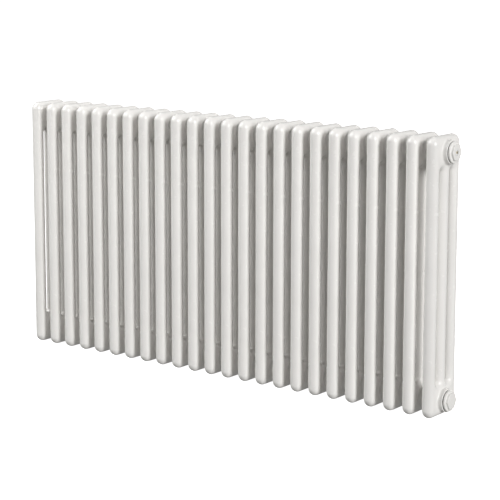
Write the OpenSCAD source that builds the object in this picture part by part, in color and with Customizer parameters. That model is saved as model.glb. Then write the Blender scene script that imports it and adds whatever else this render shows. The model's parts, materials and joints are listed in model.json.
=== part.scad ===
// Tubular steel column radiator: sections of three round tubes between hollow heads,
// pulled together by threaded nipples through the hubs of the heads.
// X runs along the radiator, Y from front to back, Z up. The origin is on the floor plane,
// under the middle of the row and of the columns.

/* [Radiator] */
// Number of sections side by side
section_count = 24; // [2:1:24]
// Distance between the centres of two sections
section_pitch = 46; // [42:1:60]
// Overall height
height = 565; // [300:5:900]
// Distance from each end to the connection axis there
hub_inset = 32.5; // [30:0.5:38]

/* [Columns] */
// Number of tubes in each section, from front to back
columns = 3; // [2:1:6]
// Distance between the centres of two tubes of a section
column_pitch = 37.5; // [32:0.5:50]
// Outside diameter of a tube
tube_d = 25; // [22:0.5:27]
// Wall thickness of the tubes and heads
wall = 1.25; // [1:0.05:2]

/* [Heads] */
// Height of a head, from its outer end to where the tubes leave it
head_h = 66; // [62:1:80]
// How much thicker the heads are than the tubes
head_extra = 0.5; // [0.5:0.5:6]
// Depth of the flat on the outer end of each head
end_flat = 0.4; // [0.2:0.1:1]
// Outside diameter of a hub ring
hub_d = 48; // [46:0.5:52]
// Diameter of the threaded hole through a hub
hub_bore_d = 39; // [36:0.5:40]

/* [Joints] */
// Thickness of the gasket between two sections
joint_gasket_t = 1; // [0.5:0.1:2]
// Radial clearance between a threaded piece and its hole
thread_gap = 0.05; // [0.02:0.01:0.1]
// Length of a nipple
nipple_length = 20; // [16:1:21]
// Inside diameter of a nipple
nipple_bore_d = 33; // [30:0.5:34]

/* [End fittings] */
// Diameter of the flange of a plug or bush
flange_d = 44; // [42:0.5:46]
// Thickness of that flange
flange_t = 4; // [3:0.5:6]
// Width across the flats of its hexagon
hex_af = 31; // [27:0.5:34]
// Height of its hexagon
hex_h = 4.3; // [3:0.1:8]
// Length of the threaded part inside the hub
spigot_length = 11; // [8:0.5:11]
// Thickness of the seal behind the flange
fitting_seal_t = 1.6; // [0.8:0.1:2]
// Minor diameter of the pipe thread in a bush, G1/2
pipe_bore_d = 18.63; // [18.63]

/* [Air vent] */
// Diameter of the turnable outlet ring
vent_ring_d = 15; // [13:0.5:18]
// Depth that the outlet ring sits in its plug
vent_ring_depth = 5; // [4:0.5:6]
// Diameter of the outlet hole in the ring
vent_outlet_d = 1.8; // [1.2:0.1:2.4]
// Thread diameter of the bleed screw
bleed_screw_d = 5; // [4:0.5:6]
// Width of the bleed screw's square end
bleed_square = 4; // [3:0.5:4]

/* [Hidden] */
$fn = 72;
eps = 0.01;
running_gap = 0.06;

tube_r = tube_d / 2;
head_r = tube_r + head_extra / 2;
hub_r = hub_d / 2;
hub_bore_r = hub_bore_d / 2;
depth = (columns - 1) * column_pitch + 2 * head_r;
hub_half_length = (section_pitch - joint_gasket_t) / 2;
hub_z = [hub_inset, height - hub_inset];
row_half_length = section_count * section_pitch / 2 - joint_gasket_t / 2;
thread_r = hub_bore_r - thread_gap;
seal_r_in = hub_bore_r + 0.2;
seal_r_out = flange_d / 2 - 0.5;
hub_chamfer = 0.8;
nipple_lug = 3;
fitting_wall = 3;
hex_corner_d = hex_af * 1.11;
fitting_length = spigot_length + fitting_seal_t + flange_t + hex_h;
vent_ring_r = vent_ring_d / 2;
vent_lip = 0.5;
vent_lip_t = 0.8;
vent_lip_gap = 0.1;
vent_chamber_t = 0.8;
vent_outlet_offset = vent_ring_r - vent_outlet_d / 2 - 0.7;
vent_passage_r = 1.5;
vent_bypass_r = 0.6;
vent_bridge = 7;
key_recess_r = bleed_square / sqrt(2) + 1.6;
key_recess_depth = 2;

function two_digits(n) = n < 10 ? str("0", n) : str(n);
function section_name(n) = str("section_", two_digits(n));
function nipples_name(n) = str("nipples_", two_digits(n));
function section_x(n) = (n - (section_count + 1) / 2) * section_pitch;
function joint_x(n) = section_x(n) + section_pitch / 2;

// Cylinder along +X that starts at x = 0
module x_cylinder(length, r) {
    rotate([0, 90, 0]) cylinder(h = length, r = r);
}

// Ring along +X that starts at x = 0
module x_ring(length, r_out, r_in) {
    difference() {
        x_cylinder(length, r_out);
        translate([-eps, 0, 0]) x_cylinder(length + 2 * eps, r_in);
    }
}

// Flat slab across the columns whose edges and corners are all rounded with radius r.
// low and high are the heights of its ends, and reach is its half depth.
module rounded_slab(r, reach, low, high) {
    y = reach - r;
    z_low = low + r;
    z_high = high - r;
    translate([-r, -y, z_low]) cube([2 * r, 2 * y, z_high - z_low]);
    for (z = [z_low, z_high]) {
        translate([0, y, z]) rotate([90, 0, 0]) cylinder(h = 2 * y, r = r);
    }
    for (side = [-y, y]) {
        translate([0, side, z_low]) cylinder(h = z_high - z_low, r = r);
        for (z = [z_low, z_high]) translate([0, side, z]) sphere(r = r);
    }
}

// Outside of a bottom head with its hub ring, before it is made hollow
module head_outside() {
    rounded_slab(head_r, depth / 2, -end_flat, head_h);
    translate([-hub_half_length, 0, hub_z[0]]) hub_barrel();
}

// Solid hub barrel with a small chamfer at both faces
module hub_barrel() {
    length = 2 * hub_half_length;
    face_r = hub_r - hub_chamfer;
    rotate([0, 90, 0]) {
        cylinder(h = hub_chamfer, r1 = face_r, r2 = hub_r);
        translate([0, 0, hub_chamfer]) cylinder(h = length - 2 * hub_chamfer, r = hub_r);
        translate([0, 0, length - hub_chamfer]) cylinder(h = hub_chamfer, r1 = hub_r, r2 = face_r);
    }
}

// Waterway of a bottom head: the hollow inside, and the threaded hole through the hub
module head_inside() {
    rounded_slab(head_r - wall, depth / 2 - wall, wall - end_flat, head_h - wall);
    translate([-hub_half_length - eps, 0, hub_z[0]]) x_cylinder(2 * hub_half_length + 2 * eps, hub_bore_r);
}

// Both ends of a section: the bottom one, and the same thing mirrored to the top
module both_ends() {
    children();
    translate([0, 0, height]) mirror([0, 0, 1]) children();
}

// One welded section, standing at x = 0
module section() {
    color("white") difference() {
        intersection() {
            union() {
                both_ends() head_outside();
                for (c = [0:columns - 1]) column(c, tube_r, head_h - head_r);
            }
            translate([-section_pitch, -depth, 0]) cube([2 * section_pitch, 2 * depth, height]);
        }
        both_ends() head_inside();
        for (c = [0:columns - 1]) column(c, tube_r - wall, head_h - head_r);
    }
}

// Solid round column number c from one head to the other, starting this far from each end
module column(c, r, inset) {
    y = (c - (columns - 1) / 2) * column_pitch;
    translate([0, y, inset]) cylinder(h = height - 2 * inset, r = r);
}

// Nipple centred on x = 0, with the two inner lugs that its key turns
module nipple() {
    color("silver") translate([-nipple_length / 2, 0, 0]) {
        x_ring(nipple_length, thread_r, nipple_bore_d / 2);
        for (side = [-1, 1]) {
            lug_z = side * (nipple_bore_d / 2 - nipple_lug / 2 + 0.5);
            translate([0, -nipple_lug / 2, lug_z - nipple_lug / 2])
                cube([nipple_length, nipple_lug, nipple_lug]);
        }
    }
}

// The top and bottom nipples of one joint
module nipple_pair() {
    for (z = hub_z) translate([0, 0, z]) nipple();
}

// Gaskets of every joint along one row of hubs
module joint_gaskets(z) {
    color("dimgray") for (n = [1:section_count - 1]) {
        translate([joint_x(n) - joint_gasket_t / 2, 0, z]) x_ring(joint_gasket_t, hub_r - 1.2, seal_r_in);
    }
}

// Seal behind the flange of a fitting whose hub face is at x = 0, pointing along +X
module fitting_seal() {
    color("dimgray") x_ring(fitting_seal_t, seal_r_out, seal_r_in);
}

// Outside of a plug or bush whose hub face is at x = 0: spigot, flange and hexagon along +X
module fitting_body() {
    edge = 0.6;
    translate([-spigot_length, 0, 0]) x_cylinder(spigot_length + fitting_seal_t + eps, thread_r);
    translate([fitting_seal_t, 0, 0]) rotate([0, 90, 0]) {
        cylinder(h = flange_t - edge, r = flange_d / 2);
        translate([0, 0, flange_t - edge]) cylinder(h = edge, r1 = flange_d / 2, r2 = flange_d / 2 - edge);
        intersection() {
            rotate(30) cylinder(h = flange_t + hex_h, r = hex_af / sqrt(3), $fn = 6);
            union() {
                cylinder(h = flange_t + hex_h - edge, r = hex_corner_d / 2);
                translate([0, 0, flange_t + hex_h - edge])
                    cylinder(h = edge, r1 = hex_corner_d / 2, r2 = hex_corner_d / 2 - edge * 2);
            }
        }
    }
}

// Plug: the hollow cup behind its face is open to the water
module plug_body() {
    difference() {
        fitting_body();
        translate([-spigot_length - eps, 0, 0]) x_cylinder(spigot_length + eps, thread_r - fitting_wall);
    }
}

module blanking_plug() {
    color("white") plug_body();
}

// Bush: a straight pipe thread right through, with a small lead-in at the mouth
module reducing_bush() {
    lead_in = 0.8;
    mouth = fitting_length - spigot_length;
    color("white") difference() {
        fitting_body();
        translate([-spigot_length - eps, 0, 0]) x_cylinder(fitting_length + 2 * eps, pipe_bore_d / 2);
        translate([mouth - lead_in, 0, 0]) rotate([0, 90, 0])
            cylinder(h = lead_in + eps, r1 = pipe_bore_d / 2, r2 = pipe_bore_d / 2 + lead_in);
    }
}

// Vent plug: a plug with a pocket for the outlet ring, and a threaded hole for the bleed screw.
// Air goes through the passage, past the screw's seat and along the bypass groove to the ring.
module vent_plug() {
    face = fitting_length - spigot_length;
    pocket_floor = face - vent_ring_depth;
    seat = -vent_bridge / 2;
    color("white") difference() {
        union() {
            plug_body();
            translate([-spigot_length / 2, 0, 0]) x_cylinder(spigot_length / 2 + 1, bleed_screw_d);
        }
        translate([pocket_floor, 0, 0]) x_cylinder(vent_ring_depth + eps, vent_ring_r + running_gap);
        translate([pocket_floor + vent_chamber_t - vent_lip_gap, 0, 0])
            x_cylinder(vent_lip_t + 2 * vent_lip_gap, vent_ring_r + vent_lip + running_gap);
        translate([seat, 0, 0]) x_cylinder(face, bleed_screw_d / 2 + running_gap);
        translate([-spigot_length, 0, 0]) x_cylinder(spigot_length, vent_passage_r);
        translate([seat + vent_bypass_r, 0, bleed_screw_d / 2]) x_cylinder(face, vent_bypass_r);
    }
}

// Outlet ring: snapped into the vent plug by its lip, it turns so that its outlet can face any way
module vent_outlet_ring() {
    length = vent_ring_depth - running_gap;
    color("whitesmoke") difference() {
        union() {
            x_cylinder(length, vent_ring_r);
            translate([vent_chamber_t - running_gap, 0, 0]) x_cylinder(vent_lip_t, vent_ring_r + vent_lip);
        }
        translate([-eps, 0, 0]) x_cylinder(length + 2 * eps, bleed_screw_d / 2 + 3 * running_gap);
        translate([-eps, 0, 0])
            x_cylinder(vent_chamber_t - running_gap, vent_outlet_offset + vent_outlet_d / 2);
        translate([length - key_recess_depth, 0, 0]) x_cylinder(key_recess_depth + eps, key_recess_r);
        translate([0, 0, -vent_outlet_offset]) x_cylinder(length + eps, vent_outlet_d / 2);
    }
}

// Bleed screw: a round shank with a cone seat at the back and a square end for the key
module bleed_screw() {
    cone = 1;
    square_length = 1.6;
    face = fitting_length - spigot_length;
    shank = vent_bridge / 2 + face - key_recess_depth + 0.1;
    color("gold") rotate([0, 90, 0]) {
        cylinder(h = cone, r1 = bleed_screw_d / 2 - cone, r2 = bleed_screw_d / 2);
        translate([0, 0, cone]) cylinder(h = shank - cone, r = bleed_screw_d / 2);
        translate([-bleed_square / 2, -bleed_square / 2, shank - eps])
            cube([bleed_square, bleed_square, square_length]);
    }
}

// Places a fitting on the right-hand (+X) end at this height, or on the left-hand end
module right_end(z) {
    translate([row_half_length, 0, z]) children();
}

module left_end(z) {
    mirror([1, 0, 0]) right_end(z) children();
}

for (n = [1:section_count]) {
    translate([section_x(n), 0, 0]) section();
}
for (n = [1:section_count - 1]) {
    translate([joint_x(n), 0, 0]) nipple_pair();
}
joint_gaskets(hub_z[1]);  // top_joint_gaskets
joint_gaskets(hub_z[0]);  // bottom_joint_gaskets
left_end(hub_z[1]) reducing_bush();  // flow_bush
left_end(hub_z[1]) fitting_seal();  // flow_bush_seal
left_end(hub_z[0]) reducing_bush();  // return_bush
left_end(hub_z[0]) fitting_seal();  // return_bush_seal
right_end(hub_z[0]) blanking_plug();
right_end(hub_z[0]) fitting_seal();  // blanking_plug_seal
right_end(hub_z[1]) vent_plug();
right_end(hub_z[1]) fitting_seal();  // vent_plug_seal
union() {
    right_end(hub_z[1]) translate([fitting_length - spigot_length - vent_ring_depth + running_gap, 0, 0])
        vent_outlet_ring();
}
union() {
    right_end(hub_z[1]) translate([-vent_bridge / 2 + running_gap, 0, 0]) bleed_screw();
}
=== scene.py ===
"""Tubular column radiator in white enamel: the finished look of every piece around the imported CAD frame."""

import json
import math

import bmesh
import bpy
import numpy as np
from mathutils import Matrix, Vector


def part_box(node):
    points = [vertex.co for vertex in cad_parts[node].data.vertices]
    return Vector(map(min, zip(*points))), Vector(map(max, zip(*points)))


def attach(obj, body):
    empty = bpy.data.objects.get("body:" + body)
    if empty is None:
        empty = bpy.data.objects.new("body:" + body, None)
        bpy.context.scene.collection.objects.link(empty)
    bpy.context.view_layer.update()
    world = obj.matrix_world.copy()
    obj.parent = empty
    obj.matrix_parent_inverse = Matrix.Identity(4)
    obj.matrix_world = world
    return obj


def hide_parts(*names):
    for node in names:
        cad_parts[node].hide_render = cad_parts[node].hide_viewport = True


MM = 0.001

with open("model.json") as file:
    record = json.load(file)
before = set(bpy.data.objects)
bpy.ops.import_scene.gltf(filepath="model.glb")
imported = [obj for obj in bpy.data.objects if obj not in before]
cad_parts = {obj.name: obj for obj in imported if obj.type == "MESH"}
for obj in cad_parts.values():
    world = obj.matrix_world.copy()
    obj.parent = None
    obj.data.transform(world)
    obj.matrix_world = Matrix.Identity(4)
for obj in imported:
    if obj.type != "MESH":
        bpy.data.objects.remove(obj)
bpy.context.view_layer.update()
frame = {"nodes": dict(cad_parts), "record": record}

# ---- Places read from the frame, and the sizes that go with them, in metres

SECTIONS = sorted(name for name in frame["nodes"] if name.startswith("section_"))
SECTION_LOW, SECTION_HIGH = (Vector(corner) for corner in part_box(SECTIONS[0]))
HEIGHT = SECTION_HIGH.z - SECTION_LOW.z
HUB_HALF = (SECTION_HIGH.x - SECTION_LOW.x) / 2
TUBE_R = 12.5 * MM
HEAD_R = 12.75 * MM
HEAD_HEIGHT = 66 * MM
COLUMN_PITCH = (SECTION_HIGH.y - SECTION_LOW.y) / 2 - HEAD_R
DEPTH = 2 * (COLUMN_PITCH + TUBE_R)
CORNER_R = 17 * MM
SLOT_FILLET = 1.0 * MM
HEAD_TAPER = 24 * MM  # stretch over which a tube widens to the heads' thickness
TAPER_PAST_HEAD = 14 * MM  # how much of it lies on the tube's side of the head
HUB_R = 24 * MM
HUB_BORE_R = 19.5 * MM
HUB_FILLET = 2.5 * MM


def centre(node):
    low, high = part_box(node)
    return (Vector(low) + Vector(high)) / 2


HUB_HEIGHTS = (centre("blanking_plug").z, centre("vent_plug").z)


# ---- Mesh helpers


def enamelled_object(name, mesh, node, x=0.0):
    """Object for this mesh in white enamel, fixed to the radiator in place of a CAD node."""
    if not mesh.materials:
        mesh.materials.append(MATERIALS["white_enamel"])
    obj = bpy.data.objects.new(name, mesh)
    bpy.context.scene.collection.objects.link(obj)
    obj.location.x = x
    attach(obj, "radiator")
    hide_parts(node)


def smooth(mesh, angle=35):
    """Shade a mesh smooth, with sharp edges where its faces meet at more than this angle in degrees."""
    mesh.shade_smooth()
    mesh.set_sharp_from_angle(angle=math.radians(angle))


def mesh_from_rings(name, rings, closed=False):
    """Skin rings of equal point counts. closed puts one face over the first ring and one over the last."""
    count = len(rings[0])
    points = [tuple(p) for ring in rings for p in ring]
    faces = []
    for k in range(len(rings) - 1):
        for i in range(count):
            j = (i + 1) % count
            faces.append((k * count + i, k * count + j, (k + 1) * count + j, (k + 1) * count + i))
    if closed:
        faces.append(tuple(reversed(range(count))))
        last = (len(rings) - 1) * count
        faces.append(tuple(last + i for i in range(count)))
    mesh = bpy.data.meshes.new(name)
    mesh.from_pydata(points, [], faces)
    mesh.validate()
    bm = bmesh.new()
    bm.from_mesh(mesh)
    bmesh.ops.recalc_face_normals(bm, faces=bm.faces)
    bm.to_mesh(mesh)
    bm.free()
    return mesh


# ---- One section: an outline inflated into round tubes and heads, with hub barrels through it


def smooth_minimum(a, b, width):
    """The smaller of a and b, rounded off where they are closer than width."""
    h = np.maximum(width - np.abs(a - b), 0.0) / width
    return np.minimum(a, b) - h * h * width / 4


def outline_depth(y, z):
    """How far a point lies inside the side view's outline: a rounded panel with slots between columns."""
    panel_y = np.abs(y) - (DEPTH / 2 - CORNER_R)
    panel_z = np.abs(z - HEIGHT / 2) - (HEIGHT / 2 - CORNER_R)
    outside = np.hypot(np.maximum(panel_y, 0), np.maximum(panel_z, 0))
    depth = CORNER_R - outside - np.minimum(np.maximum(panel_y, panel_z), 0)
    slot_r = COLUMN_PITCH / 2 - TUBE_R
    past_straight = np.maximum(np.abs(z - HEIGHT / 2) - (HEIGHT / 2 - HEAD_HEIGHT - slot_r), 0)
    for side in (-1, 1):
        from_slot = np.hypot(y - side * COLUMN_PITCH / 2, past_straight) - slot_r
        depth = smooth_minimum(depth, from_slot, SLOT_FILLET)
    return depth


def section_distance(points):
    """Signed distance, near enough, from the skin of a section at x = 0. The hub barrels run on."""
    x, y, z = points[..., 0], points[..., 1], points[..., 2]
    from_end = HEIGHT / 2 - np.abs(z - HEIGHT / 2)
    to_head = np.clip((HEAD_HEIGHT + TAPER_PAST_HEAD - from_end) / HEAD_TAPER, 0, 1)
    radius = TUBE_R + (HEAD_R - TUBE_R) * to_head * to_head * (3 - 2 * to_head)
    skin = np.hypot(x, np.maximum(radius - outline_depth(y, z), 0)) - radius
    for hub_z in HUB_HEIGHTS:
        barrel = np.hypot(y, z - hub_z) - HUB_R
        skin = smooth_minimum(skin, barrel, HUB_FILLET)
    return skin


def section_gradient(points):
    """Direction in which section_distance grows, of unit length, and its slope."""
    step = 0.02 * MM
    slopes = []
    for axis in range(3):
        shift = np.zeros(3)
        shift[axis] = step
        slopes.append((section_distance(points + shift) - section_distance(points - shift)) / (2 * step))
    gradient = np.stack(slopes, -1)
    slope = np.linalg.norm(gradient, axis=-1, keepdims=True)
    return gradient / np.maximum(slope, 1e-9), slope


def surface_net(distance, xs, ys, zs):
    """Quad mesh of the zero level of distance on a grid: one point in each cell that it crosses."""
    grid = np.stack(np.meshgrid(xs, ys, zs, indexing="ij"), -1)
    values = distance(grid)
    inside = values < 0
    cells = tuple(n - 1 for n in values.shape)
    total, hits = np.zeros(cells + (3,)), np.zeros(cells)
    crossings = []
    for axis in range(3):
        low = [slice(None)] * 3
        high = [slice(None)] * 3
        low[axis], high[axis] = slice(0, -1), slice(1, None)
        low, high = tuple(low), tuple(high)
        crossed = inside[low] != inside[high]
        with np.errstate(divide="ignore", invalid="ignore"):
            t = np.where(crossed, values[low] / (values[low] - values[high]), 0)[..., None]
        where = grid[low] * (1 - t) + grid[high] * t
        where = np.where(crossed[..., None], where, 0)
        crossings.append((crossed, inside[low]))
        others = [a for a in range(3) if a != axis]
        for shift_a in (0, 1):
            for shift_b in (0, 1):
                part = [slice(None)] * 3
                for other, shift in zip(others, (shift_a, shift_b), strict=True):
                    part[other] = slice(shift, shift + cells[other])
                total += where[tuple(part)]
                hits += crossed[tuple(part)]
    number = np.full(cells, -1)
    number[hits > 0] = np.arange((hits > 0).sum())
    points = total[hits > 0] / hits[hits > 0][:, None]
    faces = []
    for axis, (crossed, low_inside) in enumerate(crossings):
        a, b = (k for k in range(3) if k != axis)
        at = np.argwhere(crossed)
        at = at[(at[:, a] > 0) & (at[:, b] > 0) & (at[:, a] < cells[a]) & (at[:, b] < cells[b])]
        around = []
        for shift_a, shift_b in ((0, 0), (1, 0), (1, 1), (0, 1)):
            cell = at.copy()
            cell[:, a] -= 1 - shift_a
            cell[:, b] -= 1 - shift_b
            around.append(number[cell[:, 0], cell[:, 1], cell[:, 2]])
        quads = np.stack(around, -1)
        outward = low_inside[at[:, 0], at[:, 1], at[:, 2]] == (axis != 1)
        quads[~outward] = quads[~outward][:, ::-1]
        faces.append(quads)
    return points, np.concatenate(faces)


def settle(points, faces, rounds=6):
    """Even out the points along the skin and bring them back onto it."""
    edges = np.concatenate([faces[:, (k, (k + 1) % 4)] for k in range(4)])
    edges = np.concatenate([edges, edges[:, ::-1]])
    degree = np.bincount(edges[:, 0], minlength=len(points))[:, None]
    for round_number in range(rounds + 2):
        if round_number < rounds:
            mean = np.zeros_like(points)
            np.add.at(mean, edges[:, 0], points[edges[:, 1]])
            points = points + 0.5 * (mean / degree - points)
        for _ in range(3):
            normal, slope = section_gradient(points)
            points = points - normal * section_distance(points)[:, None] / np.maximum(slope, 0.3)
    return points


def section_grid():
    """Grid lines along X, Y and Z: fine in the heads, and long steps along the plain stretch of the tubes."""
    fine = 1.8 * MM
    reach_x = 13.5 * fine
    xs = np.arange(-reach_x, reach_x + fine / 2, fine)
    reach_y = DEPTH / 2 + 1.5 * fine
    ys = np.linspace(-reach_y, reach_y, 2 * round(reach_y / fine) + 1)
    head_top = HEAD_HEIGHT + 22 * MM
    ends = np.arange(-1.5 * fine, head_top, fine)
    middle = np.linspace(ends[-1], HEIGHT - ends[-1], 22)[1:-1]
    return xs, ys, np.concatenate([ends, middle, (HEIGHT - ends)[::-1]])


def open_loops(bm, x_sign):
    """Boundary loops on one side in X, each as points in order round the hub axis, lower hub first."""
    loops = []
    for hub_z in HUB_HEIGHTS:
        rim = {
            v
            for e in bm.edges
            if e.is_boundary
            for v in e.verts
            if v.co.x * x_sign > 0 and abs(v.co.z - hub_z) < HUB_R * 1.2
        }
        loops.append(sorted(rim, key=lambda v: math.atan2(v.co.z - hub_z, v.co.y)))
    return loops


def bridge(bm, ring_a, ring_b):
    """Join two rings of equal point counts with faces."""
    for i in range(len(ring_a)):
        j = (i + 1) % len(ring_a)
        bm.faces.new((ring_a[i], ring_a[j], ring_b[j], ring_b[i]))


def add_hub_ends(bm, cut):
    """Carry each cut barrel on to its rounded face and join the two faces by the bore through the head."""
    edge = 0.8 * MM
    profile = [(HUB_HALF - edge, HUB_R)]
    for k in range(1, 5):
        turn = math.radians(22.5 * k)
        profile.append((HUB_HALF - edge + edge * math.sin(turn), HUB_R - edge + edge * math.cos(turn)))
    profile += [
        (HUB_HALF, HUB_BORE_R + 1.5 * MM),
        (HUB_HALF, HUB_BORE_R + 0.7 * MM),
        (HUB_HALF - 0.7 * MM, HUB_BORE_R),
        (cut, HUB_BORE_R),
    ]
    sides = {sign: open_loops(bm, sign) for sign in (-1, 1)}
    for index, hub_z in enumerate(HUB_HEIGHTS):
        inner = {}
        for sign in (-1, 1):
            rim = sides[sign][index]
            for v in rim:
                out = Vector((0, v.co.y, v.co.z - hub_z)).normalized() * HUB_R
                v.co = Vector((sign * cut, out.y, hub_z + out.z))
            last = rim
            for x, r in profile:
                ring = []
                for v in rim:
                    out = Vector((0, v.co.y, v.co.z - hub_z)).normalized() * r
                    ring.append(bm.verts.new((sign * x, out.y, hub_z + out.z)))
                bridge(bm, last, ring)
                last = ring
            inner[sign] = last
        bridge(bm, inner[-1], inner[1])


def section_mesh():
    """One closed section: its skin, cut off at the barrels, with the hub ends and bores added."""
    points, faces = surface_net(section_distance, *section_grid())
    points = settle(points, faces)
    mesh = bpy.data.meshes.new("section")
    mesh.from_pydata(points.tolist(), [], faces.tolist())
    mesh.validate()
    bm = bmesh.new()
    bm.from_mesh(mesh)
    cut = min(HUB_HALF - 2 * MM, max(v.co.x for v in bm.verts) - 1 * MM)
    for sign in (-1, 1):
        everything = bm.verts[:] + bm.edges[:] + bm.faces[:]
        plane = {"plane_co": (sign * cut, 0, 0), "plane_no": (sign, 0, 0)}
        bmesh.ops.bisect_plane(bm, geom=everything, dist=1e-6, clear_outer=True, **plane)
    add_hub_ends(bm, cut)
    bmesh.ops.recalc_face_normals(bm, faces=bm.faces)
    bm.to_mesh(mesh)
    bm.free()
    smooth(mesh, 40)
    return mesh


# ---- Materials


def principled(name, **inputs):
    """New material with a Principled shader, and its node tree and shader to build on."""
    material = bpy.data.materials.new(name)
    material.use_nodes = True
    tree = material.node_tree
    shader = tree.nodes["Principled BSDF"]
    for socket, value in inputs.items():
        shader.inputs[socket.replace("_", " ")].default_value = value
    return material, tree, shader


def noise(tree, coordinates, scale, detail=2.0):
    """Noise of this many features per metre."""
    node = tree.nodes.new("ShaderNodeTexNoise")
    node.inputs["Scale"].default_value = scale
    node.inputs["Detail"].default_value = detail
    tree.links.new(coordinates, node.inputs["Vector"])
    return node.outputs["Fac"]


def spread(tree, value, low, high):
    """Map a noise value's usual range, 0.3 to 0.7, onto low to high."""
    node = tree.nodes.new("ShaderNodeMapRange")
    for socket, number in (("From Min", 0.3), ("From Max", 0.7), ("To Min", low), ("To Max", high)):
        node.inputs[socket].default_value = number
    tree.links.new(value, node.inputs["Value"])
    return node.outputs["Result"]


def mixed_colour(tree, factor, dark, light):
    """Colour between dark and light, by a factor from 0 to 1."""
    node = tree.nodes.new("ShaderNodeMix")
    node.data_type = "RGBA"
    node.inputs["A"].default_value = (*dark, 1)
    node.inputs["B"].default_value = (*light, 1)
    tree.links.new(factor, node.inputs["Factor"])
    return node.outputs["Result"]


def bump(tree, shader, height, distance):
    """Let this height, times the distance in metres, roughen the shader's surface."""
    node = tree.nodes.new("ShaderNodeBump")
    node.inputs["Strength"].default_value = 1.0
    node.inputs["Distance"].default_value = distance
    tree.links.new(height, node.inputs["Height"])
    tree.links.new(node.outputs["Normal"], shader.inputs["Normal"])


def object_coordinates(tree):
    return tree.nodes.new("ShaderNodeTexCoord").outputs["Object"]


def enamel():
    """Semi-gloss white powder coat: faint orange peel, and barely uneven in tone and gloss."""
    material, tree, shader = principled("white_enamel", IOR=1.5)
    place = object_coordinates(tree)
    patches = noise(tree, place, 14, 3)
    tone = mixed_colour(tree, spread(tree, patches, 0, 1), (0.815, 0.80, 0.775), (0.85, 0.835, 0.81))
    tree.links.new(tone, shader.inputs["Base Color"])
    gloss = noise(tree, place, 60, 2)
    tree.links.new(spread(tree, gloss, 0.21, 0.28), shader.inputs["Roughness"])
    peel = noise(tree, place, 520, 1.5)
    bump(tree, shader, peel, 0.006 * MM)
    return material


def turned_steel():
    """Plain steel with fine turning marks around the X axis."""
    material, tree, shader = principled("nipple_steel", Metallic=1.0)
    place = object_coordinates(tree)
    mottle = spread(tree, noise(tree, place, 40), 0, 1)
    tone = mixed_colour(tree, mottle, (0.42, 0.41, 0.39), (0.56, 0.55, 0.52))
    tree.links.new(tone, shader.inputs["Base Color"])
    tree.links.new(spread(tree, noise(tree, place, 150), 0.32, 0.5), shader.inputs["Roughness"])
    marks = tree.nodes.new("ShaderNodeTexWave")
    marks.bands_direction = "X"
    marks.inputs["Scale"].default_value = 900
    marks.inputs["Distortion"].default_value = 0.4
    tree.links.new(place, marks.inputs["Vector"])
    bump(tree, shader, marks.outputs["Fac"], 0.02 * MM)
    return material


def rubber(name, dark, light, roughness):
    """Matte rubber or fibre with a fine grain."""
    material, tree, shader = principled(name)
    place = object_coordinates(tree)
    tone = mixed_colour(tree, spread(tree, noise(tree, place, 90, 4), 0, 1), dark, light)
    tree.links.new(tone, shader.inputs["Base Color"])
    grain = spread(tree, noise(tree, place, 200), roughness - 0.08, roughness + 0.08)
    tree.links.new(grain, shader.inputs["Roughness"])
    bump(tree, shader, noise(tree, place, 1500, 3), 0.03 * MM)
    return material


def vent_plastic():
    """Moulded white plastic with a fine spark texture."""
    material, tree, shader = principled("vent_plastic", IOR=1.49)
    place = object_coordinates(tree)
    mottle = spread(tree, noise(tree, place, 50), 0, 1)
    tone = mixed_colour(tree, mottle, (0.76, 0.755, 0.74), (0.8, 0.795, 0.78))
    tree.links.new(tone, shader.inputs["Base Color"])
    tree.links.new(spread(tree, noise(tree, place, 300), 0.36, 0.46), shader.inputs["Roughness"])
    bump(tree, shader, noise(tree, place, 2500, 2), 0.01 * MM)
    return material


def machined_brass():
    """Brass with fine turning marks, a little dulled."""
    material, tree, shader = principled("screw_brass", Metallic=1.0)
    place = object_coordinates(tree)
    mottle = spread(tree, noise(tree, place, 400, 3), 0, 1)
    tone = mixed_colour(tree, mottle, (0.74, 0.64, 0.42), (0.86, 0.76, 0.52))
    tree.links.new(tone, shader.inputs["Base Color"])
    tree.links.new(spread(tree, noise(tree, place, 700), 0.35, 0.5), shader.inputs["Roughness"])
    bump(tree, shader, noise(tree, place, 3000, 2), 0.01 * MM)
    return material


MATERIALS = {
    "white_enamel": enamel(),
    "nipple_steel": turned_steel(),
    "joint_gasket": rubber("joint_gasket", (0.36, 0.355, 0.34), (0.48, 0.475, 0.455), 0.7),
    "seal_rubber": rubber("seal_rubber", (0.012, 0.012, 0.012), (0.03, 0.03, 0.03), 0.55),
    "vent_plastic": vent_plastic(),
    "screw_brass": machined_brass(),
}


# ---- Sections


def build_sections():
    """One shell for all sections, set in the place of each."""
    mesh = section_mesh()
    for name in SECTIONS:
        enamelled_object(name + "_shell", mesh, name, centre(name).x)


# ---- Plugs and bushes: rings round the hub axis, from the round spigot and flange to a hexagon

SPIGOT = 11 * MM
SEAL = 1.6 * MM
FLANGE_R = 22 * MM
FLANGE = 4 * MM
HEX_AF = 31 * MM
HEX = 4.3 * MM
HEX_EDGE = 0.9 * MM
FACE = SEAL + FLANGE + HEX
THREAD_R = 19.45 * MM
CUP_R = THREAD_R - 3 * MM
CENTRE_R = 0.4 * MM
PIPE_R = 9.315 * MM
THREAD_DEPTH = 1.1 * MM
POCKET_DEPTH = 5 * MM
LIP_GROOVE_R = 8.06 * MM  # the groove that the outlet ring's lip runs in
SCREW_HOLE_R = 2.6 * MM
SCREW_SEAT = -3.5 * MM
PASSAGE_R = 1.5 * MM
BOSS_R = 5 * MM
BOSS_END = -5.5 * MM
AROUND = 144


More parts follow.
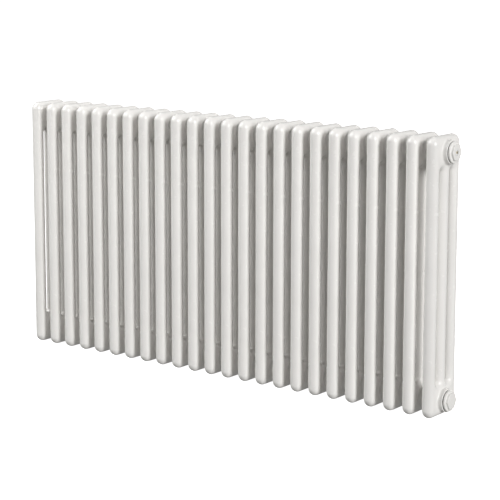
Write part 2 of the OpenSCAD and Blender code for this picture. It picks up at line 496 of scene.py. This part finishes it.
def hexagon_radius(angle):
    """Radius of the hexagon with softly turned-down corners, with flats at the top and bottom."""
    fold = (angle + math.pi / 6) % (math.pi / 3) - math.pi / 6
    return float(smooth_minimum(np.float64(HEX_AF / 2 / math.cos(fold)), np.float64(HEX_AF * 0.56), 0.8 * MM))


def fitting_ring(x, radius):
    """Points round the X axis. radius is a number, or a function of the angle from +Z."""
    ring = []
    for i in range(AROUND):
        angle = 2 * math.pi * i / AROUND
        r = radius(angle) if callable(radius) else radius
        ring.append((x, -r * math.sin(angle), r * math.cos(angle)))
    return ring


def rounded_edge(x, outer, edge):
    """Rings of a quarter-round edge that ends at x, from an outer radius or outline."""
    rings = []
    for k in range(5):
        turn = math.pi / 2 * k / 4
        inset = edge * (1 - math.cos(turn))
        at = x - edge + edge * math.sin(turn)
        if callable(outer):
            rings.append(fitting_ring(at, lambda a, d=inset: outer(a) - d))
        else:
            rings.append(fitting_ring(at, outer - inset))
    return rings


def fitting_outside():
    """Rings of a plug or bush whose hub face is at x = 0, from its spigot's end to its hexagon's face."""
    top_of_flange = SEAL + FLANGE
    rings = [
        fitting_ring(-SPIGOT, THREAD_R - 1.0 * MM),
        fitting_ring(-SPIGOT + 1.0 * MM, THREAD_R),
        fitting_ring(SEAL, THREAD_R),
        fitting_ring(SEAL, FLANGE_R - 0.5 * MM),
        fitting_ring(SEAL + 0.5 * MM, FLANGE_R),
    ]
    rings += rounded_edge(top_of_flange, FLANGE_R, 1.2 * MM)
    rings.append(fitting_ring(top_of_flange, lambda a: hexagon_radius(a) + 0.8 * MM))
    rings.append(fitting_ring(top_of_flange + 0.25 * MM, lambda a: hexagon_radius(a) + 0.25 * MM))
    rings.append(fitting_ring(top_of_flange + 0.8 * MM, hexagon_radius))
    rings += rounded_edge(FACE, hexagon_radius, HEX_EDGE)
    return rings


def face_rings(x, r_in, steps=3):
    """Flat rings across a face, from a hexagon inset towards a circle."""
    rings = []
    for k in range(1, steps + 1):
        t = k / steps
        rings.append(fitting_ring(x, lambda a, t=t: (hexagon_radius(a) - HEX_EDGE) * (1 - t) + r_in * t))
    return rings


def plug_mesh(name):
    """Plug with a closed face and a cup behind it."""
    back = [fitting_ring(0, CENTRE_R), fitting_ring(0, CUP_R), fitting_ring(-SPIGOT, CUP_R)]
    front = face_rings(FACE, 3 * MM) + [fitting_ring(FACE, CENTRE_R)]
    return mesh_from_rings(name, back + fitting_outside() + front, closed=True)


def vent_plug_mesh(name):
    """Plug with a grooved pocket for the outlet ring, a stepped hole behind it, and a cup round a boss."""
    pocket_r = LIP_GROOVE_R - 0.5 * MM
    floor = FACE - POCKET_DEPTH
    hole = [
        (FACE - 0.3 * MM, pocket_r),
        (floor + 1.7 * MM, pocket_r),
        (floor + 1.7 * MM, LIP_GROOVE_R),
        (floor + 0.7 * MM, LIP_GROOVE_R),
        (floor + 0.7 * MM, pocket_r),
        (floor, pocket_r),
        (floor, SCREW_HOLE_R),
        (SCREW_SEAT, SCREW_HOLE_R),
        (SCREW_SEAT, PASSAGE_R),
        (BOSS_END, PASSAGE_R),
        (BOSS_END, BOSS_R),
        (0, BOSS_R),
        (0, CUP_R),
        (-SPIGOT, CUP_R),
    ]
    rings = fitting_outside() + face_rings(FACE, pocket_r + 0.3 * MM)
    rings += [fitting_ring(x, r) for x, r in hole]
    return mesh_from_rings(name, rings + [rings[0]])


def thread_radius(x, angle):
    """Radius of the internal pipe thread, G1/2: 14 turns to the inch, rounded crests."""
    pitch = 25.4 / 14 * MM
    phase = (x / pitch + angle / (2 * math.pi)) % 1.0
    groove = 0.5 - 0.5 * math.cos(2 * math.pi * phase)
    return PIPE_R + THREAD_DEPTH * groove


def faded_thread_radius(x, angle, fade):
    """The thread's radius at fade 1, and that of its groove's bottom at fade 0, for its two ends."""
    return PIPE_R + THREAD_DEPTH * (1 - fade) + (thread_radius(x, angle) - PIPE_R) * fade


def bush_mesh(name):
    """Bush with a helical pipe thread right through it."""
    rings = fitting_outside()
    rings += face_rings(FACE, PIPE_R + 1.5 * MM)
    start, end = FACE - 1.2 * MM, -SPIGOT + 0.6 * MM
    steps = round((start - end) / (0.18 * MM))
    for k in range(steps + 1):
        x = start + (end - start) * k / steps
        fade = min(1.0, k / 8, (steps - k) / 8)
        rings.append(fitting_ring(x, lambda a, x=x, f=fade: faded_thread_radius(x, a, f)))
    rings.append(fitting_ring(-SPIGOT, PIPE_R + 1.6 * MM))
    rings.append(rings[0])
    return mesh_from_rings(name, rings)


def place_fitting(node, mesh, end):
    """Put a plug or bush in its hub: end is 1 at the +X end of the row and -1 at the other."""
    welded = bmesh.new()
    welded.from_mesh(mesh)
    bmesh.ops.remove_doubles(welded, verts=welded.verts, dist=1e-7)
    bmesh.ops.recalc_face_normals(welded, faces=welded.faces)
    welded.to_mesh(mesh)
    welded.free()
    smooth(mesh, 40)
    face_x = cad_section_end(end)
    turn = Matrix.Rotation(math.pi if end < 0 else 0, 4, "Z")
    mesh.transform(Matrix.Translation((face_x, 0, centre(node).z)) @ turn)
    enamelled_object(node + "_body", mesh, node)


def cad_section_end(end):
    """Where the row of sections ends along X."""
    low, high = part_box(SECTIONS[-1] if end > 0 else SECTIONS[0])
    return high[0] if end > 0 else low[0]


def build_fittings():
    place_fitting("blanking_plug", plug_mesh("blanking_plug"), 1)
    place_fitting("vent_plug", vent_plug_mesh("vent_plug"), 1)
    place_fitting("flow_bush", bush_mesh("flow_bush"), -1)
    place_fitting("return_bush", bush_mesh("return_bush"), -1)


# ---- CAD nodes that stay: seals, gaskets, nipples and the vent's two small pieces


def finish_cad_nodes():
    """Give the CAD nodes that stay their materials and slightly rounded edges."""
    slots = {entry["node"]: entry["material_slot"] for entry in frame["record"]["subparts"]}
    replaced = set(SECTIONS) | {"blanking_plug", "vent_plug", "flow_bush", "return_bush"}
    for name, obj in frame["nodes"].items():
        if name in replaced:
            continue
        material = MATERIALS[slots[name]]
        if not obj.material_slots:
            obj.data.materials.append(material)
        for slot in obj.material_slots:
            slot.material = material
        bevel = obj.modifiers.new("soft_edges", "BEVEL")
        bevel.width = 0.15 * MM
        bevel.segments = 2
        bevel.limit_method = "ANGLE"
        bevel.angle_limit = math.radians(50)


# ---- Studio: camera, floor and light


def build_camera():
    """Camera fitted to the photograph. Its uprights hardly converge, and the frame shift follows that."""
    data = bpy.data.cameras.new("camera")
    camera = bpy.data.objects.new("camera", data)
    bpy.context.scene.collection.objects.link(camera)
    data.sensor_width = 36
    data.lens = 122.83
    data.shift_y = -0.1
    data.clip_end = 100
    camera.location = (2.2182, -2.8723, 0.9749)
    yaw, pitch, roll = 0.6452, 0.1616, -0.0018
    camera.rotation_mode = "QUATERNION"
    turn = Matrix.Rotation(yaw, 3, "Z") @ Matrix.Rotation(math.pi / 2 - pitch, 3, "X")
    turn = turn @ Matrix.Rotation(-roll, 3, "Z")
    camera.rotation_quaternion = turn.to_quaternion()
    bpy.context.scene.camera = camera


def area_light(name, place, target, width, height, power):
    """Rectangular light at a place, aimed at the target."""
    data = bpy.data.lights.new(name, "AREA")
    data.shape = "RECTANGLE"
    data.size, data.size_y = width, height
    data.energy = power
    light = bpy.data.objects.new(name, data)
    light.location = place
    light.rotation_mode = "QUATERNION"
    light.rotation_quaternion = (Vector(place) - Vector(target)).to_track_quat("Z", "Y")
    bpy.context.scene.collection.objects.link(light)
    return light


def build_floor():
    """Wide white floor just under the radiator. It stays out of bounces and reflections."""
    mesh = bpy.data.meshes.new("floor")
    reach = 40
    corners = [(-reach, -reach, 0), (reach, -reach, 0), (reach, reach, 0), (-reach, reach, 0)]
    mesh.from_pydata(corners, [], [(0, 1, 2, 3)])
    floor = bpy.data.objects.new("floor", mesh)
    floor.location.z = -1 * MM
    bpy.context.scene.collection.objects.link(floor)
    material, _, shader = principled("floor", Roughness=0.9)
    shader.inputs["Base Color"].default_value = (0.9, 0.9, 0.9, 1)
    shader.inputs["Emission Color"].default_value = (1, 1, 1, 1)
    shader.inputs["Emission Strength"].default_value = 1.0
    mesh.materials.append(material)
    floor.visible_diffuse = False
    floor.visible_glossy = False


def build_world():
    """White backdrop for the camera. For the object it is a dim room above and a pale floor below."""
    world = bpy.data.worlds.new("studio")
    bpy.context.scene.world = world
    world.use_nodes = True
    tree = world.node_tree
    nodes, links = tree.nodes, tree.links
    nodes.clear()
    direction = nodes.new("ShaderNodeTexCoord")
    up = nodes.new("ShaderNodeSeparateXYZ")
    links.new(direction.outputs["Generated"], up.inputs["Vector"])
    scale = nodes.new("ShaderNodeMapRange")
    scale.inputs["From Min"].default_value = -1
    links.new(up.outputs["Z"], scale.inputs["Value"])
    ramp = nodes.new("ShaderNodeValToRGB")
    links.new(scale.outputs["Result"], ramp.inputs["Fac"])
    ramp.color_ramp.elements[0].position = 0.35
    ramp.color_ramp.elements[0].color = (0.25, 0.25, 0.245, 1)
    ramp.color_ramp.elements[1].position = 0.55
    ramp.color_ramp.elements[1].color = (0.08, 0.08, 0.08, 1)
    room = nodes.new("ShaderNodeBackground")
    links.new(ramp.outputs["Color"], room.inputs["Color"])
    backdrop = nodes.new("ShaderNodeBackground")
    backdrop.inputs["Color"].default_value = (1, 1, 1, 1)
    paths = nodes.new("ShaderNodeLightPath")
    mix = nodes.new("ShaderNodeMixShader")
    links.new(paths.outputs["Is Camera Ray"], mix.inputs["Fac"])
    links.new(room.outputs["Background"], mix.inputs[1])
    links.new(backdrop.outputs["Background"], mix.inputs[2])
    out = nodes.new("ShaderNodeOutputWorld")
    links.new(mix.outputs["Shader"], out.inputs["Surface"])


def build_lights():
    """A far key light beyond the plug end, a fill high on the left, and a highlight-free one behind."""
    middle = Vector((0, 0, HEIGHT / 2))
    area_light("key", (10.7, -3.9, 3.8), middle, 3.3, 5.4, 1200)
    area_light("left_fill", (-2.5, -1.9, 3.0), middle, 3.0, 3.0, 172)
    back = area_light("back_fill", (0.6, 3.2, 2.0), middle, 2.2, 2.2, 55)
    back.visible_glossy = False


build_camera()
build_sections()
build_fittings()
finish_cad_nodes()
build_floor()
build_world()
build_lights()
bpy.context.scene.view_settings.view_transform = "Standard"
